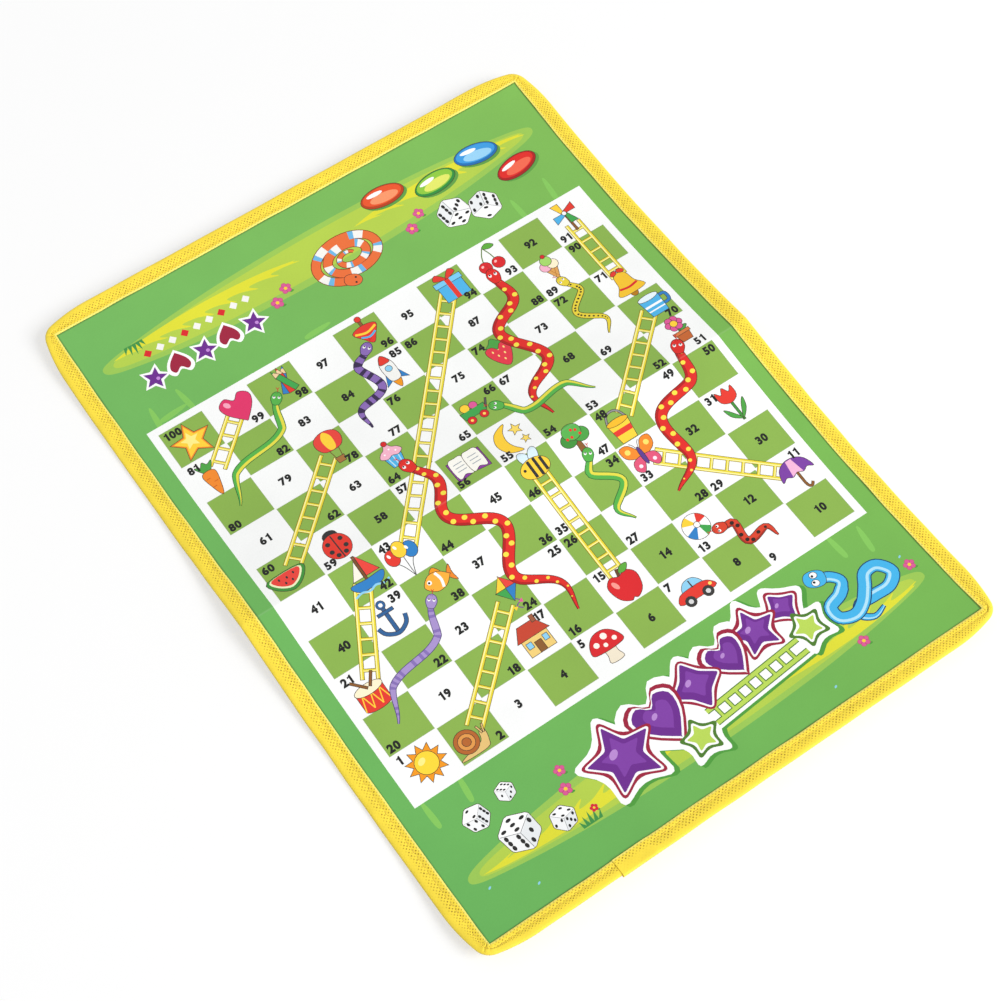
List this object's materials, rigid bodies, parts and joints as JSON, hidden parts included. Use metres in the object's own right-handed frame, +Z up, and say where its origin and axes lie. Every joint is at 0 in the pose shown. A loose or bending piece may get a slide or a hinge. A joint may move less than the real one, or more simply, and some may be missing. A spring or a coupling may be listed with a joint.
{
  "type": "snakes and ladders board",
  "caption": "Folding game board with a printed snakes and ladders face, stiff halves hinged at a middle crease, and an edge bound with stitched nonwoven tape.",
  "frame": {"origin": "centre of the open board's footprint, at the height of the table", "axes": "+X along the numbered rows from the first square, +Y up the board from the first row, +Z up from the table"},
  "size_m": [0.3, 0.4, 0.0094],
  "materials": {
    "greyboard": "matt grey paperboard",
    "printed_face": "satin film laminated over a printed sheet",
    "backing_nonwoven": "matt nonwoven",
    "binding_tape": "embossed nonwoven with a soft sheen",
    "sewing_thread": "matt twisted thread"
  },
  "bodies": {
    "lower_half": {"core_lower": "greyboard", "backing_lower": "backing_nonwoven", "face_lower": "printed_face", "binding_lower": "binding_tape", "binding_lap": "binding_tape", "stitching_lower": "sewing_thread"},
    "upper_half": {"core_upper": "greyboard", "backing_upper": "backing_nonwoven", "face_upper": "printed_face", "binding_upper": "binding_tape", "stitching_upper": "sewing_thread"}
  },
  "joints": [
    {"name": "fold", "type": "hinge", "parent": "lower_half", "child": "upper_half", "pos_m": [0, 0, 0.0094], "axis": [1, 0, 0], "range_deg": [0, 180]}
  ]
}
